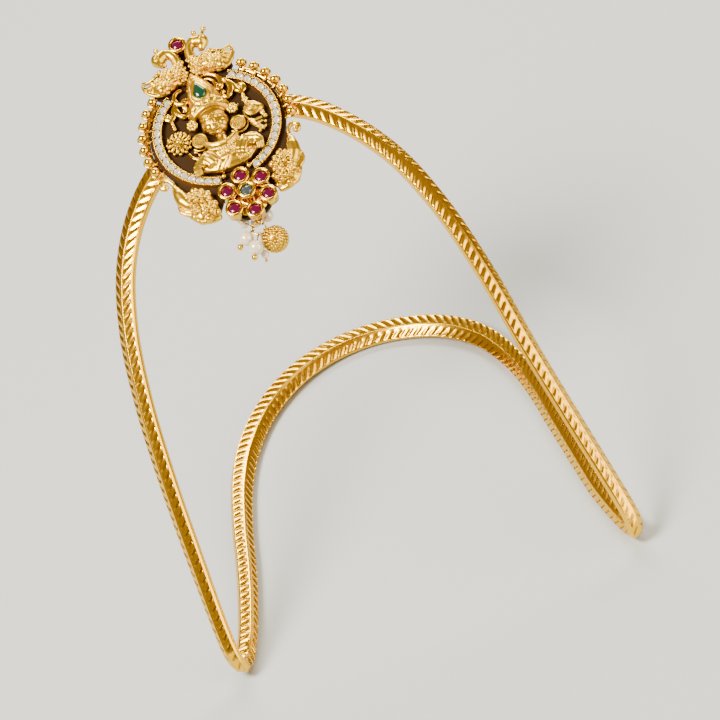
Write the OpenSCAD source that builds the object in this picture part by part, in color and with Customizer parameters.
// Upper-arm ornament: an inverted-V band with a medallion at the top of its front arch.
// The band is one closed strip. It climbs to a front arch, folds tightly at each side tip
// and comes round as a lower back arch, so that the arm passes between the two arches.
// Everything is drawn as it is worn, with the arm along Z and the medallion facing -Y,
// and is then laid on its back arch and side tips, the way it rests on a table.

/* [Resting position] */
// Angle between the arm's axis and the upright once the armlet lies down
lay_angle = 65.5; // [55:0.1:75]
// Shift to the right that centres the resting armlet
centre_x = 1.35; // [0:0.05:3]
// Shift away from the viewer that centres the resting armlet
centre_y = -45.55; // [-60:0.05:-30]
// Height that brings the lowest points down to the table
rest_lift = 3.72; // [0:0.01:6]

/* [Band] */
// Thickness of the band's plain side walls
band_wall = 1.4; // [0.8:0.1:2]
// Rise of each sloping face from the side wall to the middle
band_roof = 0.5; // [0.2:0.1:1]
// Rise of the thin rib along the middle of each face
band_rib = 0.15; // [0.05:0.05:0.3]
// Distance between two sections of the swept band
band_step = 3; // [2:0.5:5]

/* [Medallion] */
// Lean of the medallion to the left on the front arch
medallion_lean = 6.4; // [0:0.2:12]
// Thickness of the dark back plate
plate_t = 0.7; // [0.5:0.1:1.2]
// Air left between two pieces that are seated on each other
seat_gap = 0.05; // [0.03:0.01:0.1]
// Radius of the circle that the clear stones lie on
stone_circle_r = 12.45; // [12.2:0.05:12.6]
// Radius of one clear stone
clear_stone_r = 0.68; // [0.55:0.01:0.7]
// Number of clear stones on each side
stones_per_side = 16; // [8:1:16]
// Angle between two clear stones
stone_pitch = 8.27; // [8.1:0.01:8.4]
// Radius of the circle that the border beads lie on
bead_circle_r = 15.55; // [15.4:0.05:15.8]
// Radius of one border bead
bead_r = 0.75; // [0.65:0.05:0.85]
// Number of border beads on each side
beads_per_side = 7; // [4:1:7]
// Angle between two border beads
bead_pitch = 10.7; // [10:0.1:11]

/* [Bezels and coloured stones] */
// Outer radius of a round bezel
bezel_r = 1.9; // [1.75:0.05:2]
// Radius of a round coloured stone
ruby_r = 1.3; // [1.1:0.05:1.4]
// Height of a round bezel above its base
bezel_h = 1.9; // [1.4:0.1:2.4]
// Distance from the flower's centre to each of its petals
flower_ring_r = 4.3; // [4.1:0.05:4.4]

/* [Drops] */
// Radius of the hanging ring, measured to the middle of its wire
drop_ring_r = 1.4; // [1.3:0.05:1.5]
// Radius of the hanging ring's wire
drop_wire_r = 0.16; // [0.12:0.01:0.18]
// Radius of a pearl pin's wire
pin_wire_r = 0.13; // [0.1:0.01:0.15]
// Radius of the granulated ball's core
gold_ball_r = 2.65; // [2.3:0.05:2.7]

/* [Hidden] */
$fn = 48;

gold = [0.86, 0.66, 0.28];
dark_plate = [0.33, 0.27, 0.22];
ruby_red = [0.64, 0.09, 0.33];
leaf_green = [0.12, 0.42, 0.31];
slate_blue = [0.44, 0.53, 0.59];
clear_white = [0.88, 0.88, 0.92];
pearl_white = [0.93, 0.9, 0.84];

// Middle line of the band as worn, once round from the left tip over the front arch, the
// right tip and the back arch. Roll turns the outer face from the front (0) through the
// bottom of a fold (90) to the back (180).
// Columns: across, depth, height, outward turn of the face, roll through a fold, width.
band_route = [
    [-42.3, 0, -1.1, -42, 90, 3.6],
    [-43, -2.6, 0.9, -42, 25, 3.6],
    [-43.4, -4.9, 5, -42, 0, 3.7],
    [-43.9, -11, 18, -42, 0, 4.1],
    [-44.2, -18.5, 34, -42, 0, 4.4],
    [-43.9, -24.5, 50, -41, 0, 4.6],
    [-42.4, -29, 64, -39, 0, 4.8],
    [-39.1, -32.5, 76, -36, 0, 4.9],
    [-34.1, -34.8, 85.3, -30, 0, 4.9],
    [-27.4, -36.4, 92.6, -22, 0, 4.9],
    [-20, -37.3, 96.6, -14, 0, 4.8],
    [-12, -37.8, 98.7, -6, 0, 4.8],
    [-3.5, -38, 99, 4, 0, 4.8],
    [5.7, -37.3, 95.6, 13, 0, 4.8],
    [13.3, -35.8, 89.1, 17, 0, 4.5],
    [20, -33.4, 80.2, 19, 0, 4.2],
    [25.5, -30, 67.7, 24, 0, 4],
    [29.8, -25.3, 52.6, 31, 0, 4],
    [33.4, -19, 35.6, 38, 0, 4],
    [37.2, -12, 20, 42, 0, 4],
    [40.8, -5.2, 5.8, 42, 0, 3.9],
    [41.7, -2.6, 1.6, 42, 25, 3.7],
    [41.8, 0, -0.4, 42, 90, 3.4],
    [41.2, 2.7, 1.6, 42, 155, 3.6],
    [39.7, 4.6, 6, 42, 180, 4],
    [37.3, 8.6, 15, 42, 180, 4.3],
    [35.6, 12.8, 25, 40, 180, 4.5],
    [33.6, 18.5, 37.5, 37, 180, 4.5],
    [31.6, 24.3, 50, 33, 180, 4.5],
    [29, 29, 60, 28, 180, 4.7],
    [24, 33.7, 70, 20, 180, 5],
    [16.7, 37, 77, 12, 180, 5.1],
    [8.1, 39, 80.9, 5, 180, 5.1],
    [-0.3, 39.6, 82.2, 0, 180, 5.1],
    [-8.8, 39, 81.1, -5, 180, 5.1],
    [-17.4, 37, 77.2, -12, 180, 5.1],
    [-25.2, 33.7, 70, -20, 180, 5],
    [-31.1, 29, 60, -28, 180, 4.9],
    [-34.2, 24.3, 50, -33, 180, 4.7],
    [-36.1, 18.5, 37.5, -37, 180, 4.4],
    [-37.2, 12.8, 25, -40, 180, 4.3],
    [-38.4, 8.4, 15, -42, 180, 4.2],
    [-40.1, 4.3, 5.6, -42, 180, 3.9],
    [-41.4, 2.6, 1.2, -42, 155, 3.7],
];
route_rows = len(band_route);

function place(p) = [p[0], p[1], p[2]];
function row(i) = band_route[(i + route_rows) % route_rows];
function gap_root(p, q) = sqrt(norm(place(q) - place(p)));

// A point of the smooth curve through the rows, f of the way from row i to row i + 1.
// Knots spaced by the root of each distance keep the tight folds free of loops.
function on_route(i, f) = let (
    p0 = row(i - 1),
    p1 = row(i),
    p2 = row(i + 1),
    p3 = row(i + 2),
    k0 = gap_root(p0, p1),
    k1 = gap_root(p1, p2),
    k2 = gap_root(p2, p3),
    m1 = p2 - p1 + k1 * ((p1 - p0) / k0 - (p2 - p0) / (k0 + k1)),
    m2 = p2 - p1 + k1 * ((p3 - p2) / k2 - (p3 - p1) / (k1 + k2)),
    a = 2 * (p1 - p2) + m1 + m2,
    b = -3 * (p1 - p2) - 2 * m1 - m2
) ((a * f + b) * f + m1) * f + p1;

function unit(v) = v / norm(v);

// The outer face looks outward by the turn, and forward, down or back by the roll.
function face_direction(turn, roll) =
    [sin(turn), -cos(turn) * cos(roll), -cos(turn) * sin(roll)];

// Half of a section: wall corner, slope, rib. Columns: part of the half width, rise.
slope_profile = [[-1, 0], [-0.5, 0.7], [0, 1], [0.5, 0.7], [1, 0]];

function face_height(share) = band_wall / 2 + band_roof * share + (share == 1 ? band_rib : 0);

function section(i, f) = let (
    p = on_route(i, f),
    nudge = 0.01,
    along = unit(place(on_route(i, f + nudge)) - place(on_route(i, f - nudge))),
    facing = face_direction(p[3], p[4]),
    out = unit(facing - (facing * along) * along),
    side = cross(along, out),
    outer = [for (c = slope_profile) [c[0] * p[5] / 2, face_height(c[1])]],
    inner = [for (c = slope_profile) [-c[0] * p[5] / 2, -face_height(c[1])]]
) [for (c = concat(outer, inner)) place(p) + c[0] * side + c[1] * out];

band_rings = [for (i = [0:route_rows - 1]) let (
    steps = max(3, round(norm(place(row(i + 1)) - place(row(i))) / band_step))
) for (s = [0:steps - 1]) section(i, s / steps)];

// The places of the medallion's pieces, in its own plane: right, up, and out of the face
medallion_x = -12.4;
medallion_z = 95.2;
medallion_back = -39.45;
top_of_plate = plate_t + seat_gap;
ring_centre = [0, 0.45, 0];
first_stone_angle = 54.7;
first_bead_angle = 50.3;
bird_axis = -0.5;
top_centre = [-0.5, 21.9];
flower_centre = [0.3, -17.4];
flower_base = 0.6;
centre_bezel_rise = 1;
drop_centre = [-0.6, -24.6, 0.15];

// Six petals of the flower, counted clockwise from the top
function petal(i) = flower_centre + flower_ring_r * [sin(60 * i), cos(60 * i)];
function ring_point(angle) = drop_centre + drop_ring_r * [cos(angle), sin(angle), 0];
function lifted(p, z) = [p[0], p[1], z];

// Pearls with the place where each hangs on the ring.
// Columns: right, up, out of the face, radius, angle on the ring.
pearls = [
    [-3, -20.35, -2.4, 1.23, 135],
    [-0.9, -20.75, -3.8, 1, 100],
    [1.9, -21.1, -2.4, 1.4, 35],
    [-3.75, -25, -0.8, 1.5, 170],
    [-2.7, -28.45, 0.3, 1.55, 240],
    [-1.65, -29.5, -1.8, 0.85, 262],
];
pearl_drill_r = 0.2;
pin_loop_r = 0.36;
pin_head_share = 0.42;
gold_ball_centre = [1.5, -27.1, -2.1];
gold_ball_angle = -38;

// Worn position to resting position
module laid() {
    translate([centre_x, centre_y, rest_lift]) rotate([-lay_angle, 0, 0]) children();
}

// Medallion plane to resting position
module on_medallion() {
    laid() translate([medallion_x, medallion_back, medallion_z]) rotate([90, 0, 0])
        rotate([0, 0, medallion_lean]) children();
}

// A ball, a tapering limb between two balls, and a limb through a list of [x, y, z, r]
module ball(p, sides = 8) {
    translate(place(p)) sphere(p[3], $fn = sides);
}

module limb(p, q, sides = 8) {
    hull() {
        ball(p, sides);
        ball(q, sides);
    }
}

module chain(points, sides = 8) {
    for (i = [0:len(points) - 2]) limb(points[i], points[i + 1], sides);
}

// A round wire bent along part of a circle
module wire_arc(bend_r, wire_r, from, sweep) {
    rotate([0, 0, from]) rotate_extrude(angle = sweep) translate([bend_r, 0]) circle(wire_r);
}

// Cuts cast relief flat where it sits on the back plate
module seated() {
    intersection() {
        children();
        translate([-20, -30, top_of_plate]) cube([40, 60, 10]);
    }
}

module band() {
    per_ring = 2 * len(slope_profile);
    rings = len(band_rings);
    points = [for (ring = band_rings) for (p = ring) p];
    sides = [for (i = [0:rings - 1]) for (j = [0:per_ring - 1]) let (
        i2 = (i + 1) % rings,
        j2 = (j + 1) % per_ring
    ) each [
        [i * per_ring + j, i * per_ring + j2, i2 * per_ring + j2],
        [i * per_ring + j, i2 * per_ring + j2, i2 * per_ring + j],
    ]];
    color(gold) laid() polyhedron(points, sides);
}

// Disc behind the ring of stones, with lobes behind the birds, side leaves and flower
module back_plate() {
    disc_r = 14.2;
    flower_lobe_r = 4.9;
    bird_lobe = [[1.5, 10], [1.5, 18], [3.5, 17.8], [8.6, 15.5], [8.8, 13.4], [6.5, 11]];
    leaf_lobe = [[4, -10], [11.5, -5], [12.9, -7.6], [12.9, -11], [12.4, -13.4], [10.9, -15], [10.6, -17.6],
        [8.6, -18.9], [6.9, -18.6], [5, -16]];
    color(dark_plate) on_medallion() union() {
        translate(ring_centre) cylinder(r = disc_r, h = plate_t);
        translate(flower_centre) cylinder(r = flower_lobe_r, h = plate_t);
        translate(top_centre) cylinder(r = 1.7, h = plate_t);
        translate([bird_axis - 1.6, 13, 0]) cube([3.2, 7.5, plate_t]);
        for (side = [0, 1]) {
            mirror([side, 0, 0]) linear_extrude(plate_t) polygon(leaf_lobe);
            translate([bird_axis, 0, 0]) mirror([side, 0, 0]) linear_extrude(plate_t) polygon(bird_lobe);
        }
    }
}

module clear_stone_places(sides) {
    translate(ring_centre) for (i = [0:stones_per_side - 1]) for (side = sides)
        mirror([side, 0, 0]) rotate([0, 0, first_stone_angle - i * stone_pitch])
            translate([stone_circle_r, 0, 0]) children();
}

// Curved channel of two rails and a floor, bored for the clear stones
module stone_channel() {
    inner_r = stone_circle_r - 0.9;
    width = 1.9;
    rail_t = 0.25;
    floor_h = 0.65;
    rail_h = 0.95;
    seat_depth = 0.55;
    end_margin = 4;
    sweep = (stones_per_side - 1) * stone_pitch + 2 * end_margin;
    difference() {
        translate([0, 0, top_of_plate]) translate(ring_centre)
            rotate([0, 0, first_stone_angle + end_margin - sweep]) rotate_extrude(angle = sweep) union() {
                translate([inner_r, 0]) square([width, floor_h]);
                translate([inner_r, 0]) square([rail_t, rail_h]);
                translate([inner_r + width - rail_t, 0]) square([rail_t, rail_h]);
            }
        clear_stone_places([0]) translate([0, 0, top_of_plate + floor_h - seat_depth])
            cylinder(r = clear_stone_r + 0.05, h = 2);
    }
}

module stone_channel_right() {
    color(gold) on_medallion() stone_channel();
}

module stone_channel_left() {
    color(gold) on_medallion() mirror([1, 0, 0]) stone_channel();
}

// A round cut stone: pavilion, crown facets and a table
module cut_stone(r, depth, crown, facets = 8) {
    rotate([0, 0, 180 / facets]) rotate_extrude($fn = facets)
        polygon([[0, -depth], [r, 0], [0.55 * r, crown], [0, crown]]);
}

module ring_stones() {
    girdle = top_of_plate + 0.6;
    color(clear_white) on_medallion() clear_stone_places([0, 1])
        translate([0, 0, girdle]) cut_stone(clear_stone_r, 0.45, 0.4);
}

// Border beads on a thin strip, each in the bend of a curled wire
module bead_rim() {
    strip_in = 14.3;
    strip_out = 15.9;
    strip_t = 0.5;
    bead_z = 1.5;
    curl_r = bead_r + 0.05;
    curl_wire = 0.26;
    curl_z = 1.15;
    curl_from = -130;
    curl_sweep = 225;
    reach = (beads_per_side - 1) * bead_pitch;
    translate(ring_centre) union() {
        rotate([0, 0, first_bead_angle - reach - 2]) rotate_extrude(angle = reach + 4)
            translate([strip_in, 0.1]) square([strip_out - strip_in, strip_t]);
        for (i = [0:beads_per_side - 1]) rotate([0, 0, first_bead_angle - i * bead_pitch])
            translate([bead_circle_r, 0, 0]) union() {
                translate([0, 0, 0.3]) cylinder(r = 0.4, h = bead_z - 0.3);
                translate([0, 0, bead_z]) sphere(bead_r);
                translate([0, 0, curl_z]) wire_arc(curl_r, curl_wire, curl_from, curl_sweep);
            }
    }
}

module bead_rim_right() {
    color(gold) on_medallion() bead_rim();
}

module bead_rim_left() {
    color(gold) on_medallion() mirror([1, 0, 0]) bead_rim();
}

// Bird looking outward with a curled neck, a flowered body and a leaf-shaped tail.
// Crest lists the small balls above its head.
module peacock(crest) {
    head = [4.9, 20.4, 2.5, 1.45];
    neck = [[1.8, 17.3, 1.9, 1.1], [1.5, 18.7, 2.4, 0.85], [1.9, 20, 2.6, 0.75], [2.6, 21, 2.6, 0.75],
        [3.6, 21.3, 2.6, 0.85], head];
    beak = [head, [4.7, 19.2, 2.4, 0.8], [4.1, 18.9, 2.2, 0.3]];
    body = [[2.2, 17.2, 1.4, 1.2], [2.7, 15.6, 1.4, 1.8], [4.5, 15, 1.3, 2.1], [6.8, 14.7, 1.3, 1.9],
        [8.8, 14.9, 1.2, 1.2], [9.8, 16, 1.2, 0.6], [9.9, 17.2, 1.2, 0.3]];
    tail_rim = [[9.9, 17.2, 1.2, 0.35], [10.1, 15.9, 1.2, 0.4], [9.7, 14.7, 1.2, 0.4], [8.6, 13.8, 1.2, 0.35],
        [7.3, 12.7, 1.2, 0.35], [5.6, 12.7, 1.2, 0.4]];
    wing_beads = [[9.2, 16.1, 1.2, 0.5], [8.1, 16.4, 1.5, 0.5], [7.1, 16.7, 1.7, 0.55],
        [6.2, 17.1, 1.7, 0.55], [5.6, 18.1, 1.7, 0.5]];
    bosses = [[4.4, 16.6, 3, 0.7], [3.9, 14.3, 3, 0.9], [6.5, 14.6, 2.8, 0.7], [5.1, 12.8, 2.2, 0.5]];
    translate([bird_axis, 0, 0]) seated() union() {
        chain(neck);
        chain(beak);
        chain(body);
        chain(tail_rim, 6);
        chain(wing_beads, 6);
        for (b = bosses) limb(b, [b[0], b[1], 1.4, b[3]], 8);
        for (c = crest) limb([c[0], c[1], 2.4, 0.5], head - [0, 0, 0, 1], 8);
    }
}

module peacock_right() {
    color(gold) on_medallion() peacock([[6.3, 23.2], [4.1, 23.2]]);
}

module peacock_left() {
    color(gold) on_medallion() translate([2 * bird_axis, 0, 0]) mirror([1, 0, 0]) peacock([[4.5, 22.9]]);
}

// A cup with a stepped seat for a round stone
module bezel(base_h) {
    difference() {
        cylinder(r = bezel_r, h = base_h + bezel_h);
        translate([0, 0, base_h + 0.4]) cylinder(r = ruby_r + 0.05, h = 4);
    }
}

// The round stone of a bezel that stands on the back plate
module bezel_stone(centre, base_h) {
    stone_depth = 0.7;
    stone_crown = 0.4;
    girdle = top_of_plate + base_h + bezel_h - stone_crown - 0.1;
    translate(lifted(centre, girdle)) cut_stone(ruby_r, stone_depth, stone_crown, 12);
}

module top_bezel() {
    color(gold) on_medallion() translate(lifted(top_centre, top_of_plate)) bezel(flower_base);
}

module top_ruby() {
    color(ruby_red) on_medallion() bezel_stone(top_centre, flower_base);
}

// Pear outline of the crown's stone, grown by a margin
module pear(margin, h) {
    hull() {
        translate([-0.2, 7.6]) cylinder(r = 1.2 + margin, h = h, $fn = 20);
        translate([-0.33, 10.4]) cylinder(r = 0.15 + margin, h = h, $fn = 20);
    }
}

// Seated figure with a tall crown. The face is a plain calm one on even proportions.
module figure() {
    cheeks = [[-0.45, 0.9, 1.6, 2.4], [0.55, 0.9, 1.6, 2.4]];
    forehead = [[0.05, 2.4, 1.5, 2.6], [0.05, 0.9, 1.7, 2.5]];
    jaw = [[0.05, 0.5, 1.7, 2.4], [0.05, -1.1, 1.8, 1.8]];
    nose = [[0.05, 1.8, 4, 0.25], [0.05, 0.5, 4.2, 0.35]];
    neck = [[0.1, -3.2, 2, 1.7], [0.1, 0, 2.2, 1.9]];
    torso = [[-3.8, -5, 1.8, 1.5], [0, -6.2, 1.6, 2.2], [4, -5, 1.8, 1.5]];
    hem = [[-6, -7.1, 1.4, 0.8], [-4.4, -7.6, 1.6, 1.1], [-2.2, -8.2, 1.8, 1.3], [0.8, -8.6, 1.8, 1.4],
        [3.2, -8.2, 1.8, 1.4], [5.4, -7.3, 1.7, 1.2]];
    left_arm = [[-4, -4.7, 2.4, 1.2], [-5.4, -5.4, 2.5, 1.2], [-6.7, -6.5, 2.9, 0.9], [-7, -7.9, 3.1, 0.65],
        [-7.1, -9.1, 3.2, 0.5]];
    right_arm = [[7.1, -8.2, 3.1, 0.65], [7, -7.1, 2.9, 0.9], [5.7, -7.2, 2.6, 1.1], [4.8, -6.4, 2.8, 1.1],
        [4.3, -5.3, 3, 0.9]];
    brim = [[-3.7, 3.7, 2.2, 0.95], [-2.7, 4.6, 3.4, 1], [-1, 5.1, 4, 1], [0.9, 5, 4, 1],
        [2.5, 4.2, 3.4, 1], [3.6, 3.1, 2.2, 0.95]];
    crown = [[0, 7, 1.5, 3.3], [-0.15, 9.4, 1.5, 2.9], [-0.35, 11.8, 1.5, 2], [-0.45, 13.8, 1.4, 0.8]];
    necklace = [[-2.9, -3.1, 2.8, 0.4], [-1.8, -4.6, 3.2, 0.5], [-0.1, -5.3, 3.4, 0.5], [1.8, -4.8, 3.2, 0.5],
        [3.2, -3.9, 2.8, 0.4]];
    finger_root = [4.3, -5.1, 3];
    ear_flower = [4.5, 2.9, 1.6];
    color(gold) on_medallion() seated() difference() {
        union() {
            chain(cheeks, 16);
            chain(forehead, 16);
            chain(jaw, 16);
            chain(nose);
            chain(neck, 10);
            chain(torso, 12);
            chain(hem);
            chain(left_arm);
            chain(right_arm);
            chain(brim);
            chain(crown, 16);
            chain(necklace, 6);
            for (side = [-1, 1]) translate([side * ear_flower[0], ear_flower[1], top_of_plate])
                cylinder(r = 0.95, h = ear_flower[2], $fn = 12);
            for (i = [-1:1]) limb(
                [finger_root[0] + 0.4 * i, finger_root[1], finger_root[2], 0.35],
                [finger_root[0] + 0.55 * i, finger_root[1] + 1.2, finger_root[2], 0.3], 6);
            translate([0, 0, 3]) pear(0.5, 2.3);
        }
        translate([0, 0, 4.1]) pear(0.06, 3);
    }
}

module crown_emerald() {
    seat_z = 4.15;
    table_z = 5.5;
    color(leaf_green) on_medallion() translate([0, 0, seat_z]) hull() {
        pear(0, 0.9);
        pear(-0.12, table_z - seat_z);
    }
}

// Large ear ornament: a dish of rings
module ear_disc() {
    disc_r = 1.62;
    dish = 1.25;
    rotate_extrude() polygon([[0, 0], [disc_r, 0], [disc_r, 1.6], [1.3, 1.6], [1.3, dish], [0.95, dish],
        [0.95, 1.5], [0.6, 1.5], [0.6, dish], [0.3, dish], [0.3, 1.7], [0, 1.7]]);
}

module ear_disc_right() {
    color(gold) on_medallion() translate([4.35, -0.85, top_of_plate]) ear_disc();
}

module ear_disc_left() {
    color(gold) on_medallion() translate([-4.3, -1.2, top_of_plate]) ear_disc();
}

// Flaming wheel held up on the left: a boss with a ring of petals
module discus() {
    petals = 14;
    petal_ring_r = 2.2;
    color(gold) on_medallion() translate([-8.3, 0.7, top_of_plate]) union() {
        cylinder(r = 2.1, h = 0.8);
        cylinder(r = 1.1, h = 1.5);
        translate([0, 0, 1.6]) sphere(0.55);
        for (i = [0:petals - 1]) rotate([0, 0, 360 * i / petals])
            translate([petal_ring_r, 0, 0]) cylinder(r = 0.4, h = 1.1);
    }
}

// Shell held up on the right, with a beaded stalk, a side ball and a curved foot
module conch() {
    shell = [[8.2, 0.8, 2, 1.4], [9.3, 0.6, 1.9, 1.1]];
    stalk = [[7.6, 4.9, 1.5, 0.45], [7.5, 3.8, 1.7, 0.6], [7.6, 2.6, 1.9, 0.8], [8, 1.6, 2, 0.9]];
    foot = [[6.7, -0.3, 1.6, 0.45], [7.2, -2.1, 1.6, 0.55], [8.1, -3.5, 1.6, 0.5], [8.2, -4.3, 1.5, 0.55]];
    side_ball = [[9.3, 0.3, 1.7, 0.8], [9.9, -1.9, 1.6, 0.5]];
    color(gold) on_medallion() seated() union() {
        chain(shell, 14);
        chain(stalk);
        chain(foot);
        chain(side_ball);
        limb([8, -0.8, 1.6, 0.9], [8.5, -2.6, 1.5, 0.8]);
    }
}

// A curl of flat-sided wire. Each arc is [centre right, centre up, radius, first angle, sweep].
module flat_wires(arcs) {
    wire_w = 0.5;
    wire_h = 1.2;
    for (a = arcs) translate([a[0], a[1], top_of_plate]) rotate([0, 0, a[3]])
        rotate_extrude(angle = a[4]) translate([a[2] - wire_w / 2, 0]) square([wire_w, wire_h]);
}

// Vine curls in the open spaces beside the crown
module scrolls_right() {
    beside_crown = [[1.6, 10.4, 2.95, -20, 100], [3.75, 9.4, 0.62, -190, 190]];
    middle = [[2.6, 8.5, 3.3, -38, 90], [4.6, 7.1, 0.9, -190, 152]];
    outer = [[1.4, 6.6, 5.5, 0, 34], [7.75, 6.9, 0.85, -170, 240]];
    color(gold) on_medallion() union() {
        flat_wires(beside_crown);
        flat_wires(middle);
        flat_wires(outer);
    }
}

module scrolls_left() {
    beside_crown = [[-3.95, 10.5, 1.7, 85, 185], [-3.95, 9.25, 0.45, -90, 200]];
    middle = [[-1.1, 8.4, 5, 163, 32], [-4.9, 6.95, 1.05, 172, 230]];
    outer = [[-5, 7.7, 1.95, 135, 50], [-7.95, 7.5, 1, -80, 85]];
    color(gold) on_medallion() union() {
        flat_wires(beside_crown);
        flat_wires(middle);
        flat_wires(outer);
        translate([-8.2, 6.9, top_of_plate]) cylinder(r = 0.75, h = 1.6);
    }
}

// Side ornament: a curled neck that swells into a flowered leaf
module side_leaf() {
    curl = [[12.7, -8.4, 1.4, 0.42], [12.8, -7.4, 1.4, 0.42], [13.5, -6.5, 1.5, 0.45],
        [14.5, -6.1, 1.5, 0.48], [15.3, -6.6, 1.5, 0.48], [15.4, -7.6, 1.5, 0.48], [14.6, -8, 1.5, 0.42]];
    neck = [[12.7, -8.4, 1.4, 0.42], [12.55, -9.4, 1.4, 0.55], [12.4, -10.8, 1.4, 0.8],
        [12.1, -12.2, 1.4, 0.95], [11.4, -13.5, 1.4, 0.95], [10.6, -14.2, 1.4, 0.6]];
    body = [[10.8, -11.6, 1.2, 0.9], [9.3, -12.9, 1.3, 1.4], [8.2, -14.9, 1.3, 1.7], [8.5, -17.1, 1.3, 1.7],
        [7.5, -18.2, 1.2, 0.9]];
    tail_rim = [[11.5, -16.1, 1.2, 0.4], [11.3, -17.3, 1.2, 0.42], [10.5, -18.4, 1.2, 0.45],
        [9.3, -19.1, 1.2, 0.45], [8, -19.4, 1.2, 0.45], [6.9, -19.2, 1.2, 0.4]];
    spike = [[13.4, -12.8, 1.3, 0.25], [13.6, -14, 1.3, 0.32], [13, -15.3, 1.3, 0.4],
        [11.6, -16.1, 1.2, 0.45]];
    bosses = [[11, -11.5, 2.4, 0.5], [9.4, -11.9, 2.4, 0.5], [8.6, -15.3, 2.8, 1.1], [9.9, -14.3, 2.4, 0.6],
        [8.2, -17.9, 2.4, 1.1], [7, -14.1, 2.2, 0.5], [10.4, -16.4, 2.2, 0.7]];
    seated() union() {
        chain(curl);
        chain(neck);
        chain(body);
        chain(tail_rim, 6);
        chain(spike, 6);
        for (b = bosses) limb(b, [b[0], b[1], 1.2, b[3]]);
        limb([9.9, -15.6, 1.3, 1.2], [10.2, -17.6, 1.2, 1.1]);
    }
}

module side_leaf_right() {
    color(gold) on_medallion() side_leaf();
}

module side_leaf_left() {
    color(gold) on_medallion() mirror([1, 0, 0]) side_leaf();
}

// Seven bezels on one base, with an eye at the bottom for the hanging ring
module flower_setting() {
    eye_r = 0.52;
    eye_angle = 65;
    color(gold) on_medallion() union() {
        translate(lifted(flower_centre, top_of_plate)) cylinder(r = flower_ring_r, h = flower_base);
        translate(lifted(flower_centre, top_of_plate)) bezel(flower_base + centre_bezel_rise);
        for (i = [0:5]) translate(lifted(petal(i), top_of_plate)) bezel(flower_base);
        translate(ring_point(eye_angle)) rotate([0, 0, eye_angle]) rotate([90, 0, 0])
            wire_arc(eye_r, drop_wire_r, 0, 360);
    }
}

module petal_ruby(i) {
    color(ruby_red) on_medallion() bezel_stone(petal(i), flower_base);
}

module flower_centre_stone() {
    color(slate_blue) on_medallion() bezel_stone(flower_centre, flower_base + centre_bezel_rise);
}

module drop_ring() {
    color(gold) on_medallion() translate(drop_centre) wire_arc(drop_ring_r, drop_wire_r, 0, 360);
}

// Ball with an eye that hangs on the ring
module gold_ball() {
    eye_r = 0.42;
    eye_wire = 0.15;
    color(gold) on_medallion() union() {
        translate(gold_ball_centre) sphere(gold_ball_r);
        translate(ring_point(gold_ball_angle)) rotate([0, 0, gold_ball_angle]) rotate([90, 0, 0])
            wire_arc(eye_r, eye_wire, 0, 360);
    }
}

// Turns +Z onto the line from one point to another
module aim(from, to) {
    d = to - from;
    translate(from) rotate([0, acos(d[2] / norm(d)), atan2(d[1], d[0])]) children();
}

module pearl(i) {
    centre = place(pearls[i]);
    hang = ring_point(pearls[i][4]);
    color(pearl_white) on_medallion() difference() {
        translate(centre) sphere(pearls[i][3]);
        aim(centre, 2 * centre - hang) translate([0, 0, -2]) cylinder(r = pearl_drill_r, h = 4, $fn = 24);
    }
}

// Headed pin: a loop round the hanging ring, a wire through the pearl and a ball below it
module pearl_pin(i) {
    centre = place(pearls[i]);
    hang = ring_point(pearls[i][4]);
    pearl_r = pearls[i][3];
    head_r = pin_head_share * pearl_r;
    reach = norm(centre - hang) + pearl_r + head_r + seat_gap;
    color(gold) on_medallion() union() {
        translate(hang) rotate([0, 0, pearls[i][4]]) rotate([90, 0, 0])
            wire_arc(pin_loop_r, pin_wire_r, 0, 360);
        aim(hang, centre) translate([0, 0, pin_loop_r])
            cylinder(r = pin_wire_r, h = reach - pin_loop_r, $fn = 24);
        translate(hang + reach * unit(centre - hang)) sphere(head_r);
    }
}

band();
back_plate();
stone_channel_right();
stone_channel_left();
ring_stones();
bead_rim_right();
bead_rim_left();
peacock_right();
peacock_left();
top_bezel();
top_ruby();
figure();
crown_emerald();
ear_disc_right();
ear_disc_left();
discus();
conch();
scrolls_right();
scrolls_left();
side_leaf_right();
side_leaf_left();
flower_setting();
petal_ruby(0);  // ruby_1
petal_ruby(1);  // ruby_2
petal_ruby(2);  // ruby_3
petal_ruby(3);  // ruby_4
petal_ruby(4);  // ruby_5
petal_ruby(5);  // ruby_6
flower_centre_stone();
drop_ring();
gold_ball();
pearl(0);  // pearl_1
pearl(1);  // pearl_2
pearl(2);  // pearl_3
pearl(3);  // pearl_4
pearl(4);  // pearl_5
pearl(5);  // pearl_6
pearl_pin(0);  // pearl_pin_1
pearl_pin(1);  // pearl_pin_2
pearl_pin(2);  // pearl_pin_3
pearl_pin(3);  // pearl_pin_4
pearl_pin(4);  // pearl_pin_5
pearl_pin(5);  // pearl_pin_6
